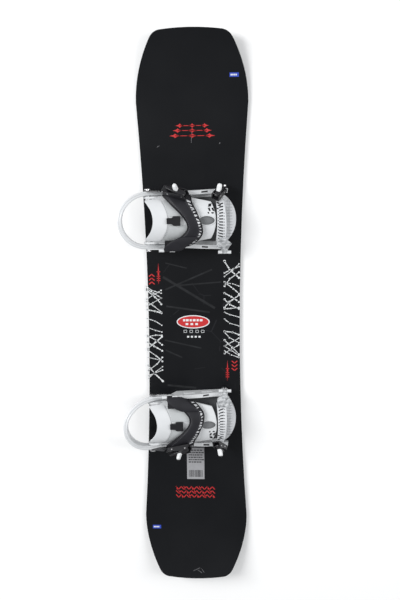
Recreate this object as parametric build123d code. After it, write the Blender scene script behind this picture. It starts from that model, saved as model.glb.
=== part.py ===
from build123d import *
import math
import os

os.makedirs("parts", exist_ok=True)

# ---- board: driving dimensions, millimetres ----
LENGTH = 1580
TIP_WIDTH = 306
WAIST_WIDTH = 262
WIDEST_Y = 605            # widest points from the board's middle
SIDE_RADIUS = 325         # outline beyond the widest point
CORNER_RADIUS = 38
END_RADIUS = 700          # nearly flat end of nose and tail
CONTACT_Y = 595           # where the base leaves the snow
TIP_RISE = 50
TIP_THINNING = 0.6        # thickness at the tips over thickness in the middle
EDGE_WIDTH = 2.2
SIDEWALL = 7
SPACER_Y = 640            # the wood core ends here
BASE_T = 1.4
EDGE_T = 2.0
CORE_TOP = 8.2
GLASS_TOP = 8.9
BOARD_T = 10

# ---- bindings ----
FRONT_Y = 290
REAR_Y = -290
INSERT_ROWS = (-20, 20)
INSERT_R = 5
INSERT_BORE_R = 2.5
INSERT_STEPS = (-50, -30, -10, 10, 30, 50)
PIVOT = (-120, 60)        # highback pivot, x and z in a binding's own frame
FOLD_TILT = 5             # folded highback slopes down to the toe
HOOP_RADIUS = 76
HOOP_T = 8
TOE_HALF = 84
FLOOR_T = 9
PIN_R = 2.0
PIN_FIT = 0.05
BOLT_R = 4.0

HIGHBACK_R = 81
HIGHBACK_T = 4.5
HIGHBACK_Z = 10           # centre height of the highback's arch
ANKLE_R_IN = 89
ANKLE_R_OUT = 101
ANKLE_Z = 5
TOE_R_IN = 81
TOE_R_OUT = 88
TOE_Z = -8
MEDIAL_HINGE = (-81, 78)  # ankle strap's opening hinge, y and z
TOE_HINGE = (-90, 40)
TOE_BOLT = (86, 16)


# ---- helpers ----
def along_z(sketch, low, high):
    return extrude(Pos(0, 0, low) * sketch, high - low, dir=(0, 0, 1))


def along_x(sketch, low, high):
    return extrude(Pos(low, 0, 0) * (Plane.YZ * sketch), high - low, dir=(1, 0, 0))


def along_y(sketch, low, high):
    return extrude(Pos(0, high, 0) * (Plane.XZ * sketch), high - low, dir=(0, -1, 0))


def rounded(points, radius):
    return make_face(FilletPolyline(*points, radius=radius, close=True))


def sharp(points):
    return make_face(Polyline(*points, close=True))


def link(start, end, width):
    middle = ((start[0] + end[0]) / 2, (start[1] + end[1]) / 2)
    run = math.dist(start, end)
    turn = math.degrees(math.atan2(end[1] - start[1], end[0] - start[0]))
    return Pos(*middle) * Rot(0, 0, turn) * SlotCenterToCenter(run, width)


def rod_y(x, z, radius, low, high):
    return along_y(Pos(x, z) * Circle(radius), low, high)


def rod_x(y, z, radius, low, high):
    return along_x(Pos(y, z) * Circle(radius), low, high)


def arch(outer, inner, centre_z, half_width, low, high):
    ring = Pos(0, centre_z) * (Circle(outer) - Circle(inner))
    window = Pos(0, centre_z + outer) * Rectangle(2 * half_width, 2 * outer)
    return along_x(ring & window, low, high)


def tilted(shape):
    pivot = Pos(PIVOT[0], 0, PIVOT[1])
    return pivot * Rot(0, FOLD_TILT, 0) * pivot.inverse() * shape


# ---- board ----
def board_outline(inset=0):
    side_centre = Vector(TIP_WIDTH / 2 - SIDE_RADIUS, WIDEST_Y)
    end_centre = Vector(0, LENGTH / 2 - END_RADIUS)
    a = SIDE_RADIUS - CORNER_RADIUS
    b = END_RADIUS - CORNER_RADIUS
    gap = side_centre - end_centre
    d = gap.length
    along = (b * b - a * a + d * d) / (2 * d)
    off = math.sqrt(b * b - along * along)
    direction = gap.normalized()
    corner = end_centre + direction * along + Vector(direction.Y, -direction.X) * off
    side_dir = (corner - side_centre).normalized()
    end_dir = (corner - end_centre).normalized()
    half_dir = (side_dir + end_dir).normalized()
    mid_side = (side_dir + Vector(1, 0)).normalized()
    r_side = SIDE_RADIUS - inset
    r_corner = CORNER_RADIUS - inset
    r_end = END_RADIUS - inset
    widest = side_centre + Vector(1, 0) * r_side
    on_side = side_centre + side_dir * r_side
    on_end = end_centre + end_dir * r_end
    tip = Vector(0, LENGTH / 2 - inset)
    flip_x = Vector(-on_end.X, on_end.Y)
    waist = Vector(WAIST_WIDTH / 2 - inset, 0)

    def mirrored(p, sx, sy):
        return (p.X * sx, p.Y * sy)

    edges = []
    for sx in (1, -1):
        low = mirrored(widest, sx, -1)
        edges.append(ThreePointArc(low, mirrored(waist, sx, 1), mirrored(widest, sx, 1)))
        for sy in (1, -1):
            side_mid = side_centre + mid_side * r_side
            corner_mid = corner + half_dir * r_corner
            start = mirrored(widest, sx, sy)
            joint = mirrored(on_side, sx, sy)
            last = mirrored(on_end, sx, sy)
            edges.append(ThreePointArc(start, mirrored(side_mid, sx, sy), joint))
            edges.append(ThreePointArc(joint, mirrored(corner_mid, sx, sy), last))
    for sy in (1, -1):
        right = mirrored(on_end, 1, sy)
        edges.append(ThreePointArc(right, mirrored(tip, 1, sy), mirrored(flip_x, 1, sy)))
    return make_face(edges)


def surface_points(height):
    reach = LENGTH / 2 + 5 - CONTACT_Y
    rise = TIP_RISE * (reach / (reach - 5)) ** 2 - height * (1 - TIP_THINNING)
    radius = (reach * reach + rise * rise) / (2 * rise)
    half = reach / 2
    middle = height + radius - math.sqrt(radius * radius - half * half)
    tip = (CONTACT_Y + reach, height + rise)
    return tip, (CONTACT_Y + half, middle), (CONTACT_Y, height)


def surface_edges(height):
    tip, bend, flat = surface_points(height)

    def other(p):
        return (-p[0], p[1])

    rising = ThreePointArc(tip, bend, flat)
    level = Line(flat, other(flat))
    falling = ThreePointArc(other(flat), other(bend), other(tip))
    return [rising, level, falling]


def layer(low, high, outline):
    low_tip = surface_points(low)[0]
    high_tip = surface_points(high)[0]
    ends = [Line(low_tip, high_tip), Line((-low_tip[0], low_tip[1]), (-high_tip[0], high_tip[1]))]
    band = along_x(make_face(surface_edges(low) + surface_edges(high) + ends), -TIP_WIDTH, TIP_WIDTH)
    return band & along_z(outline, -5, TIP_RISE + 30)


def insert_places():
    return [(x, centre + y) for centre in (-280, 280) for x in INSERT_ROWS for y in INSERT_STEPS]


def insert_bores(low, high):
    return [along_z(Pos(x, y) * Circle(INSERT_R), low, high) for x, y in insert_places()]


def board_parts():
    outer = board_outline()
    inner = board_outline(EDGE_WIDTH)
    core_line = board_outline(SIDEWALL)
    middle = Rectangle(2 * TIP_WIDTH, 2 * SPACER_Y)
    ring = outer - core_line
    parts = {}
    parts["base_sheet"] = layer(0, BASE_T, inner)
    parts["steel_edge"] = layer(0, EDGE_T, outer - inner)
    upper = layer(CORE_TOP, GLASS_TOP, outer) - insert_bores(CORE_TOP, GLASS_TOP)
    parts["laminates"] = [layer(BASE_T, EDGE_T, inner), upper]
    core = layer(EDGE_T, CORE_TOP, core_line & middle)
    parts["wood_core"] = core - insert_bores(EDGE_T, CORE_TOP)
    heel = Pos(-TIP_WIDTH, 0) * middle
    toe = Pos(TIP_WIDTH, 0) * middle
    parts["sidewalls"] = [layer(EDGE_T, CORE_TOP, ring & heel), layer(EDGE_T, CORE_TOP, ring & toe)]
    beyond = outer - middle
    half = Rectangle(TIP_WIDTH * 2, LENGTH * 2)
    nose = layer(EDGE_T, CORE_TOP, beyond & Pos(0, LENGTH) * half)
    tail = layer(EDGE_T, CORE_TOP, beyond & Pos(0, -LENGTH) * half)
    parts["tip_spacers"] = [nose, tail]
    parts["topsheet"] = layer(GLASS_TOP, BOARD_T, outer) - insert_bores(GLASS_TOP - 1, BOARD_T + 1)
    insert = along_z(Circle(INSERT_R) - Circle(INSERT_BORE_R), EDGE_T + 2, BOARD_T)
    insert += along_z(Circle(INSERT_R), EDGE_T, EDGE_T + 2)
    parts["inserts"] = [Pos(x, y, 0) * insert for x, y in insert_places()]
    return parts


# ---- binding, in its own frame: +X to the toe, +Y to the buckles, z = 0 on the topsheet ----
def baseplate():
    floor_line = rounded([(-112, -59), (-112, 59), (84, 70), (84, -70)], 8)
    plate = along_z(floor_line, 0, FLOOR_T)
    plate -= along_z(Circle(54), 5, FLOOR_T + 1)
    plate -= along_z(Circle(48), -1, 6)
    plate -= along_z(rounded([(-102, -40), (-102, 40), (-64, 40), (-64, -40)], 10), -1, FLOOR_T + 1)
    profile = rounded([(-112, 0), (-112, 42), (-62, 43), (-40, 44), (20, 40), (66, 30), (94, 27), (98, 0)], 4)
    top = [(-60, 43), (-40, 44), (20, 40), (66, 30), (96, 26)]
    flange_side = sharp(top + [(x, z - 6) for x, z in reversed(top)])
    walls = []
    for side in (1, -1):
        wall = sharp([(-112, 59 * side), (-112, 66 * side), (-72, 66 * side), (-54, 76 * side),
                      (98, TOE_HALF * side), (98, 77 * side), (-50, 69 * side), (-70, 59 * side)])
        walls.append(along_z(wall, 0, 60) & along_y(profile, -90, 90))
        lip = sharp([(-58, 69 * side), (-54, 76 * side), (98, TOE_HALF * side), (98, 72 * side), (-50, 66 * side)])
        walls.append(along_z(lip, 0, 60) & along_y(flange_side, -90, 90))
        floor_side = sharp([(-112, 50 * side), (-112, 62 * side), (-70, 62 * side), (-50, 72 * side),
                            (84, 80 * side), (84, 50 * side)])
        walls.append(along_z(floor_side, 0, FLOOR_T) - along_z(Circle(54), -1, FLOOR_T + 1))
    slots = along_y(link((22, 22), (46, 19), 8), -90, 90) + along_y(link((-30, 28), (-4, 26), 9), -90, 90)
    body = plate + walls
    body -= slots
    for x in (-100, -80):
        body -= rod_y(x, 34, 3.0, -90, 90)
    body -= rod_y(*TOE_BOLT, BOLT_R, -95, 95)
    return body


def disc():
    body = along_z(Circle(53.9), 5, FLOOR_T) + along_z(Circle(47.9), 0, 5)
    for x in (-20, 20):
        for y in (-20, 20):
            body -= along_z(Pos(x, y) * Circle(3.2), -1, 20)
            body -= along_z(Pos(x, y) * Circle(7), 5.5, 20)
    return body


def disc_screws():
    screw = along_z(Circle(INSERT_BORE_R), -5, 5.5) + along_z(Circle(6.6), 5.5, FLOOR_T - 0.2)
    screw -= along_z(RegularPolygon(2.2, 6), 7, 10)
    return [Pos(x, y, 0) * screw for x in (-20, 20) for y in (-20, 20)]


def footbed():
    line = rounded([(-108, -50), (-108, 50), (-60, 56), (80, 62), (80, -62), (-60, -56)], 14)
    wedge = rounded([(-108, FLOOR_T), (-108, 23), (-60, 19), (30, 17), (80, 22), (80, FLOOR_T)], 2)
    body = along_z(line, FLOOR_T, 40) & along_y(wedge, -80, 80)
    return body - [along_z(Pos(x, 0) * Rectangle(3, 90), 16, 40) for x in (-40, -20, 0, 20, 40)]


def toe_ramp():
    front = ThreePointArc((90, 64), (120, 0), (90, -64))
    back = Polyline((90, -64), (84, -66), (84, 66), (90, 64))
    side = rounded([(84, 1), (84, 22), (104, 24), (119, 15), (121, 1)], 1)
    body = along_z(make_face([front] + back.edges()), 0, 40) & along_y(side, -80, 80)
    return body - [along_z(Pos(104, y) * Rectangle(22, 2.2), 20.5, 40) for y in range(-48, 49, 8)]


def heel_hoop():
    outer = Pos(-119, 0) * Circle(HOOP_RADIUS) + Pos(-19, 0) * Rectangle(200, 2 * HOOP_RADIUS)
    inner_r = HOOP_RADIUS - HOOP_T
    inner = Pos(-119, 0) * Circle(inner_r) + Pos(-19, 0) * Rectangle(200, 2 * inner_r)
    band = outer - inner
    profile = make_face(
        Spline((-70, 44), (-106, 58), (-132, 78), (-199, 118)).edges()
        + Polyline((-199, 118), (-199, 80)).edges()
        + Spline((-199, 80), (-150, 52), (-112, 30), (-70, 24)).edges()
        + Polyline((-70, 24), (-70, 44)).edges()
    )
    body = along_z(band, 0, 130) & along_y(profile, -90, 90)
    for x in (-100, -80):
        body -= rod_y(x, 34, 3.0, -90, 90)
    return body - rod_y(*PIVOT, BOLT_R, -90, 90)


def hoop_bolts():
    bolts = []
    for side in (1, -1):
        for x in (-100, -80):
            shank = rod_y(x, 34, 3.0, 60, 76)
            head = rod_y(x, 34, 6.0, 76, 78) + rod_y(x, 34, 5.0, 57.5, 59)
            bolts.append(shank + head if side > 0 else mirror(shank + head, about=Plane.XZ))
    return bolts


def pivot_bolts():
    bolt = rod_y(*PIVOT, BOLT_R, 56, 82) + rod_y(*PIVOT, 8, 81.6, 84.5) + rod_y(*PIVOT, 6.5, 55.5, 58)
    return [bolt, mirror(bolt, about=Plane.XZ)]


def toe_bolts():
    bolt = rod_y(*TOE_BOLT, BOLT_R, 74, 91) + rod_y(*TOE_BOLT, 7, 90, 93)
    return [bolt, mirror(bolt, about=Plane.XZ)]


def highback_outline():
    lower = ThreePointArc((-128, 50), (-107, 0), (-128, -50))
    top = ThreePointArc((50, 50), (63, 0), (50, -50))
    side = Polyline((-128, 66), (-10, 62), (50, 50))
    other = Polyline((-128, -66), (-10, -62), (50, -50))
    ends = [Line((-128, 50), (-128, 66)), Line((-128, -50), (-128, -66))]
    return make_face([lower, top] + side.edges() + other.edges() + ends)


def highback():
    inner = HIGHBACK_R - HIGHBACK_T
    shell = arch(HIGHBACK_R, inner, HIGHBACK_Z, 61, -140, 80) & along_z(highback_outline(), 0, 140)
    shell -= along_z(Pos(38, 0) * Ellipse(21.5, 11.5), 0, 140)
    shell -= along_z(link((-66, 0), (-47, 0), 5), 60, 140)
    for side in (1, -1):
        shell -= along_z(Pos(-124, 60 * side) * Rectangle(32, 12), 0, 140)
    arm_side = rounded([(-122, 48), (-122, 72), (-104, 70), (-92, 62), (-60, 60), (-56, 56), (-92, 49)], 1)
    arm = along_y(arm_side, 58.5, 64.5) + rod_y(*PIVOT, 12, 58.5, 64.5)
    body = shell + arm + mirror(arm, about=Plane.XZ)
    return body - rod_y(*PIVOT, BOLT_R + PIN_FIT, -90, 90)


def highback_lining():
    outer = HIGHBACK_R - HIGHBACK_T
    line = rounded([(-92, -44), (-92, 44), (-20, 50), (30, 44), (48, 28), (48, -28), (30, -44), (-20, -50)], 12)
    body = arch(outer, outer - 6, HIGHBACK_Z, 60, -95, 60) & along_z(line, 0, 140)
    body -= along_z(Pos(38, 0) * Ellipse(23, 13), 0, 140)
    return body - along_z(link((-76, 0), (-36, 0), 14), 0, 140)


def lean_adjuster():
    block = rounded([(-70, -8), (-70, 8), (-56, 8), (-52, 13), (-33, 13), (-33, -13), (-52, -13), (-56, -8)], 2)
    body = along_z(block, HIGHBACK_Z + HIGHBACK_R + 0.3, HIGHBACK_Z + HIGHBACK_R + 8)
    stem = along_z(Pos(-48, 0) * Circle(2.3), 82, 95)
    nut = along_z(Pos(-48, 0) * Circle(6), 79, HIGHBACK_Z + HIGHBACK_R - HIGHBACK_T - 0.6)
    return body + stem + nut


def ankle_outline():
    right = Spline((-4, 66), (0, 44), (12, 20), (27, -30), (6, -58), (-22, -72))
    left = Spline((-76, -72), (-38, -46), (-15, -20), (-24, 6), (-60, 42), (-84, 66))
    return make_face([right, left, Line((-22, -72), (-76, -72)), Line((-84, 66), (-4, 66))])


def ankle_pad():
    return arch(ANKLE_R_OUT, ANKLE_R_IN, ANKLE_Z, 70, -95, 40) & along_z(ankle_outline(), 0, 140)


def buckle_plane(x, radius, centre_z, angle, turn):
    a = math.radians(angle)
    t = math.radians(turn)
    normal = Vector(0, math.sin(a), math.cos(a))
    tangent = Vector(0, -math.cos(a), math.sin(a))
    along = Vector(math.cos(t), 0, 0) + tangent * math.sin(t)
    origin = Vector(x, 0, centre_z) + normal * radius
    return Plane(origin=origin, x_dir=along, z_dir=normal)


def buckle_frame(half, width):
    cheek = rounded([(-half, 0.5), (-half, 9), (-half + 12, 13), (half - 14, 17), (half - 6, 15),
                     (half, 3), (half, 0.5)], 0.4)
    body = along_y(cheek, width / 2 - 3, width / 2) + along_y(cheek, -width / 2, -width / 2 + 3)
    body += Pos(0, 0, 1.75) * Box(2 * half, width, 2.5)
    body -= rod_y(half - 12, 11, PIN_R, -width, width)
    return body - rod_y(-half + 14, 7.5, PIN_R, -width, width)


def buckle_pins(half, width):
    main = rod_y(half - 12, 11, PIN_R, -width / 2, width / 2)
    small = rod_y(-half + 14, 7.5, PIN_R, -width / 2, width / 2)
    return [main, small]


def buckle_lever(half, width):
    reach = half - 12
    side = rounded([(reach + 6, 7), (reach + 5, 15), (reach - 10, 18), (8, 19), (4, 33), (-6, 35), (-8, 32),
                    (-2, 28), (-2, 14), (reach - 6, 11), (reach - 3, 6)], 1)
    body = along_y(side, -width / 2 + 3.6, width / 2 - 3.6)
    return body - rod_y(reach, 11, PIN_R + PIN_FIT, -width, width)


def release_lever(half, width):
    x = -half + 14
    side = rounded([(x + 2.8, 4.6), (x + 4, 10), (x - 2, 13), (-half - 3, 12), (-half - 6, 9),
                    (x - 6, 8), (x - 2.8, 4.6)], 0.8)
    body = along_y(side, -width / 2 + 3.6, width / 2 - 3.6)
    return body - rod_y(x, 7.5, PIN_R + PIN_FIT, -width, width)


def strap_hinge(y, z, low, high):
    third = (high - low) / 3
    fixed = rod_x(y, z, 4.5, low, low + third - 0.3) + rod_x(y, z, 4.5, high - third + 0.3, high)
    moving = rod_x(y, z, 4.5, low + third, high - third)
    pin = rod_x(y, z, PIN_R, low, high)
    bore = rod_x(y, z, PIN_R, low - 1, high + 1)
    free_bore = rod_x(y, z, PIN_R + PIN_FIT, low - 1, high + 1)
    return fixed, moving, pin, bore, free_bore


def ankle_extender():
    y, z = MEDIAL_HINGE
    strap = along_y(link(PIVOT, (-62, 64), 17), -79.5, -76.4)
    fixed, moving, pin, bore, free_bore = strap_hinge(y, z, -92, -48)
    tabs = along_y(rounded([(-91, 60), (-91, 78), (-78, 78), (-78, 60)], 1), -79.5, -76.6)
    tabs += along_y(rounded([(-62, 62), (-62, 78), (-49, 78), (-55, 62)], 1), -79.5, -76.6)
    body = strap + tabs + fixed - bore - rod_y(*PIVOT, BOLT_R + PIN_FIT, -90, -70)
    return body + pin


def ankle_bracket():
    y, z = MEDIAL_HINGE
    fixed, moving, pin, bore, free_bore = strap_hinge(y, z, -92, -48)
    arm = along_x(rounded([(y, z + 1), (y, z + 4.4), (-54, 96.4), (-52, 93)], 0.4), -76, -36)
    web = along_x(rounded([(y, z + 1), (y, z + 4.4), (-70, 87.5), (-69, 83.5)], 0.4), -77, -63)
    trim = along_x(rounded([(y - 6, z - 6), (y - 6, z + 7), (y + 6, z + 7), (y + 6, z - 6)], 1), -62.9, -30)
    return arm - trim + web + moving - free_bore


def ankle_ladder():
    strap = along_y(link(PIVOT, (-92, 70), 20), 76.4, 79.5)
    teeth = [along_y(Pos(x, 60 + (x + 120) * 0.357) * Rot(0, 0, 20) * Rectangle(1.6, 14), 79.5, 80.7)
             for x in (-108, -104, -100, -96, -92, -88)]
    return strap + teeth - rod_y(*PIVOT, BOLT_R + PIN_FIT, 70, 90)


def toe_cap():
    left = ThreePointArc((64, 58), (68.5, 0), (64, -58))
    right = ThreePointArc((84, 58), (93, 0), (90, -58))
    outline = make_face([left, right, Line((64, 58), (84, 58)), Line((64, -58), (90, -58))])
    body = arch(TOE_R_OUT, TOE_R_IN, TOE_Z, 58, 50, 110) & along_z(outline, 0, 110)
    for y in range(-44, 45, 8):
        body -= along_z(Pos(79, y) * Rot(0, 0, y * 0.4) * Rectangle(11, 3.4), 0, 110)
    return body


def toe_extender():
    y, z = TOE_HINGE
    strap = along_y(link(TOE_BOLT, (88, 26), 18), -88.5, -84.5)
    fixed, moving, pin, bore, free_bore = strap_hinge(y, z, 70, 106)
    upright = along_y(sharp([(74, 24), (71, 40), (105, 40), (98, 24)]), -89.5, -86.5)
    upright -= rod_x(y, z, 5.2, 81.6, 94.4)
    body = strap + upright + fixed - bore - rod_y(*TOE_BOLT, BOLT_R + PIN_FIT, -100, -70)
    return body + pin


def toe_bracket():
    y, z = TOE_HINGE
    fixed, moving, pin, bore, free_bore = strap_hinge(y, z, 70, 106)
    sheet = along_x(rounded([(y, z + 1), (y, z + 4.4), (-70, 60), (-52, 69), (-50, 66), (-68, 57)], 0.6), 66, 108)
    outline = rounded([(82, -98), (82, -82), (66, -72), (68, -50), (92, -50), (108, -64), (94, -84), (94, -98)], 3)
    trim = along_z(outline, 0, 110)
    return (sheet & trim) + moving - free_bore


def toe_ladder():
    strap = along_y(link(TOE_BOLT, (85, 30), 16), 84.5, 88)
    teeth = [along_y(Pos(85.6, z) * Rectangle(11, 1.4), 88, 89) for z in (25, 28, 31, 34)]
    return strap + teeth - rod_y(*TOE_BOLT, BOLT_R + PIN_FIT, 70, 95)


def binding_parts():
    ankle = buckle_plane(-44, ANKLE_R_OUT, ANKLE_Z, 44, 22).location
    toe = buckle_plane(73, TOE_R_OUT, TOE_Z, 49, 120).location
    ankle_size = (33, 28)
    toe_size = (23, 24)
    parts = {}
    parts["baseplate"] = baseplate()
    parts["footbed"] = footbed()
    parts["toe_ramp"] = toe_ramp()
    parts["heel_hoop"] = heel_hoop()
    parts["highback"] = tilted(highback())
    parts["highback_lining"] = tilted(highback_lining())
    parts["lean_adjuster"] = tilted(lean_adjuster())
    parts["ankle_pad"] = tilted(ankle_pad())
    parts["ankle_bracket"] = tilted(ankle_bracket())
    parts["ankle_extender"] = tilted(ankle_extender())
    parts["ankle_ladder"] = tilted(ankle_ladder())
    parts["ankle_buckle"] = tilted(ankle * buckle_frame(*ankle_size))
    parts["ankle_pins"] = [tilted(ankle * pin) for pin in buckle_pins(*ankle_size)]
    parts["ankle_lever"] = tilted(ankle * buckle_lever(*ankle_size))
    parts["ankle_release"] = tilted(ankle * release_lever(*ankle_size))
    parts["toe_cap"] = toe_cap()
    parts["toe_bracket"] = toe_bracket()
    parts["toe_extender"] = toe_extender()
    parts["toe_ladder"] = toe_ladder()
    parts["toe_buckle"] = toe * buckle_frame(*toe_size)
    parts["toe_pins"] = [toe * pin for pin in buckle_pins(*toe_size)]
    parts["toe_lever"] = toe * buckle_lever(*toe_size)
    parts["toe_release"] = toe * release_lever(*toe_size)
    return parts


def solids_of(shape):
    if isinstance(shape, list):
        return [solid for item in shape for solid in solids_of(item)]
    return list(shape.solids())


def place_front(solid):
    return Pos(0, FRONT_Y, BOARD_T) * solid


def place_rear(solid):
    return Pos(0, REAR_Y, BOARD_T) * mirror(solid, about=Plane.XZ)


def place_rear_disc(solid):
    return Pos(0, REAR_Y, BOARD_T) * solid


def write(name, solids):
    shape = solids[0] if len(solids) == 1 else Compound(solids)
    export_step(shape, "parts/" + name + ".step")


for name, shape in board_parts().items():
    write(name, solids_of(shape))

for name, maker in (("hoop_bolts", hoop_bolts), ("pivot_bolts", pivot_bolts), ("toe_bolts", toe_bolts)):
    bolts = solids_of(maker())
    write(name, [place_front(s) for s in bolts] + [place_rear(s) for s in bolts])

screws = solids_of(disc_screws())
write("disc_screws", [place_front(s) for s in screws] + [place_rear_disc(s) for s in screws])
write("front_disc", [place_front(s) for s in solids_of(disc())])
write("rear_disc", [place_rear_disc(s) for s in solids_of(disc())])

for name, shape in binding_parts().items():
    write("front_" + name, [place_front(s) for s in solids_of(shape)])
    write("rear_" + name, [place_rear(s) for s in solids_of(shape)])
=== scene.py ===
import math
import random

import bmesh
import bpy
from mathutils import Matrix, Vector


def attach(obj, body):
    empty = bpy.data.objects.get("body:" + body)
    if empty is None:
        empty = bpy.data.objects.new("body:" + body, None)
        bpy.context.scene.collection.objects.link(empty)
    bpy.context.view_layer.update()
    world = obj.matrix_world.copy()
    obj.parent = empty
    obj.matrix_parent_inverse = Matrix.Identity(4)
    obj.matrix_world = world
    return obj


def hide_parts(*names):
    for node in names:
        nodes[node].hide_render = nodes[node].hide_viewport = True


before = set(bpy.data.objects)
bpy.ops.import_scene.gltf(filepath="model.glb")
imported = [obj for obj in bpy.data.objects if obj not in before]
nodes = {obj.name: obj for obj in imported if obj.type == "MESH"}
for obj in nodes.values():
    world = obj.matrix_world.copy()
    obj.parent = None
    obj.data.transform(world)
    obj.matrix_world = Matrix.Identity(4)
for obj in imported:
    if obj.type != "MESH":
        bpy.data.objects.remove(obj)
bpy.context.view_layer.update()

SIDES = ("front", "rear")
bpy.ops.object.select_all(action="DESELECT")


# ---- Board lacquer and topsheet ----
# The topsheet is a printed nylon sheet with a lacquer over it: near black, with faint
# drawn lines under the lacquer, small scratches and an uneven sheen.
class Tone:
    """A shader socket that takes part in plain Python sums."""

    def __init__(self, tree, socket):
        self.tree = tree
        self.socket = socket

    def maths(self, operation, *others, swap=False):
        values = [self, *others]
        if swap:
            values.reverse()
        return shader_node(self.tree, "ShaderNodeMath", {"operation": operation}, dict(enumerate(values)))

    def __add__(self, other):
        return self.maths("ADD", other)

    def __radd__(self, other):
        return self.maths("ADD", other, swap=True)

    def __sub__(self, other):
        return self.maths("SUBTRACT", other)

    def __rsub__(self, other):
        return self.maths("SUBTRACT", other, swap=True)

    def __mul__(self, other):
        return self.maths("MULTIPLY", other)

    def __rmul__(self, other):
        return self.maths("MULTIPLY", other, swap=True)

    def above(self, other):
        return self.maths("GREATER_THAN", other)

    def below(self, other):
        return self.maths("LESS_THAN", other)


def shader_node(tree, kind, settings, values, output=0):
    node = tree.nodes.new(kind)
    for key, setting in settings.items():
        if key == "ramp":
            while len(node.color_ramp.elements) < len(setting):
                node.color_ramp.elements.new(0.5)
            for stop, (place, colour) in zip(node.color_ramp.elements, setting):
                stop.position = place
                stop.color = (*colour, 1)
        else:
            setattr(node, key, setting)
    for key, value in values.items():
        if isinstance(value, Tone):
            tree.links.new(value.socket, node.inputs[key])
        else:
            node.inputs[key].default_value = value
    return Tone(tree, node.outputs[output])


class Finish:
    """One material: a principled surface, its coordinates and a few ways to vary it."""

    def __init__(self, name, colour, roughness, **constants):
        self.material = bpy.data.materials.new(name)
        self.material.use_nodes = True
        self.tree = self.material.node_tree
        self.surface = self.tree.nodes["Principled BSDF"]
        self.surface.inputs["Base Color"].default_value = (*colour, 1)
        self.surface.inputs["Roughness"].default_value = roughness
        for key, value in constants.items():
            self.surface.inputs[key.replace("_", " ")].default_value = value
        self.material.diffuse_color = (*colour, 1)
        self.place = self.node("ShaderNodeTexCoord", {}, {}, 3)
        self.rounded = None

    def node(self, kind, settings, values, output=0):
        return shader_node(self.tree, kind, settings, values, output)

    def noise(self, scale, detail=3.0, stretch=(1, 1, 1)):
        mapped = self.node("ShaderNodeMapping", {}, {"Vector": self.place, "Scale": stretch})
        return self.node("ShaderNodeTexNoise", {}, {"Vector": mapped, "Scale": scale, "Detail": detail})

    def axis(self, index):
        return self.node("ShaderNodeSeparateXYZ", {}, {"Vector": self.place}, index)

    def blend(self, factor, first, second):
        settings = {"data_type": "RGBA"}
        return self.node("ShaderNodeMix", settings, {0: factor, 6: as_colour(first), 7: as_colour(second)}, 2)

    def set(self, socket, tone):
        self.tree.links.new(tone.socket, self.surface.inputs[socket])

    def round_edges(self, radius):
        self.rounded = self.node("ShaderNodeBevel", {"samples": 6}, {"Radius": radius})

    def bump(self, height, strength, distance):
        values = {"Height": height, "Strength": strength, "Distance": distance}
        if self.rounded:
            values["Normal"] = self.rounded
        self.set("Normal", self.node("ShaderNodeBump", {}, values))


def as_colour(value):
    return value if isinstance(value, Tone) else (*value, 1)


def dress(piece, finish):
    piece.data.materials.clear()
    piece.data.materials.append(finish.material)


topsheet = Finish("topsheet_lacquer", (0.006, 0.006, 0.007), 0.5, Specular_IOR_Level=0.12)
haze = topsheet.noise(5.0, 4.0)
speckle = topsheet.noise(900.0, 2.0)
cells = {"Vector": topsheet.place, "Scale": 9.0}
drawn = topsheet.node("ShaderNodeTexVoronoi", {"feature": "DISTANCE_TO_EDGE"}, cells)
lines = drawn.below(0.008) * topsheet.noise(14.0).above(0.55)
middle = topsheet.axis(1).maths("ABSOLUTE").below(0.16)
tint = topsheet.blend(haze, (0.0035, 0.004, 0.005), (0.009, 0.0095, 0.011))
topsheet.set("Base Color", topsheet.blend(lines * middle * 0.4, tint, (0.028, 0.028, 0.032)))
scratch = topsheet.noise(60.0, 2.0, (9.0, 0.25, 1.0)).above(0.71)
topsheet.set("Roughness", 0.26 + haze * 0.16 + scratch * 0.12)
topsheet.bump(speckle * 0.5 + scratch * 0.5, 0.12, 0.0002)
dress(nodes["topsheet"], topsheet)


# ---- Board edge, sidewalls, core and base ----
# Ground steel edges run all round the board, the sidewalls are black moulded strips, the core
# is glued wood and the base is a waxed black sheet.
def brushed(name, colour, roughness, stretch):
    steel = Finish(name, colour, roughness, Metallic=1.0)
    brush = steel.noise(240.0, 4.0, stretch)
    steel.set("Roughness", roughness - 0.08 + brush * 0.2)
    steel.set("Base Color", steel.blend(brush, tuple(c * 0.8 for c in colour), colour))
    steel.bump(brush, 0.15, 0.0001)
    return steel


edge_steel = brushed("edge_steel", (0.40, 0.41, 0.43), 0.36, (1, 0.05, 1))
bolt_steel = brushed("bolt_steel", (0.66, 0.66, 0.67), 0.26, (1, 1, 1))
dress(nodes["steel_edge"], edge_steel)
for name in ("inserts", "disc_screws", "hoop_bolts", "pivot_bolts", "toe_bolts"):
    dress(nodes[name], bolt_steel)
for side in SIDES:
    dress(nodes[side + "_ankle_pins"], bolt_steel)
    dress(nodes[side + "_toe_pins"], bolt_steel)


def moulded(name, colour, roughness, grain=0.10, soft_edge=0.0008, dirt=0.12, **constants):
    plastic = Finish(name, colour, roughness, **constants)
    plastic.round_edges(soft_edge)
    cloud = plastic.noise(26.0, 4.0)
    fine = plastic.noise(1400.0, 2.0)
    dull = tuple(c * (1 - dirt) for c in colour)
    plastic.set("Base Color", plastic.blend(cloud, dull, colour))
    plastic.set("Roughness", roughness - 0.05 + cloud * 0.14)
    plastic.bump(fine * 0.6 + cloud * 0.4, grain, 0.0002)
    return plastic


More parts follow.
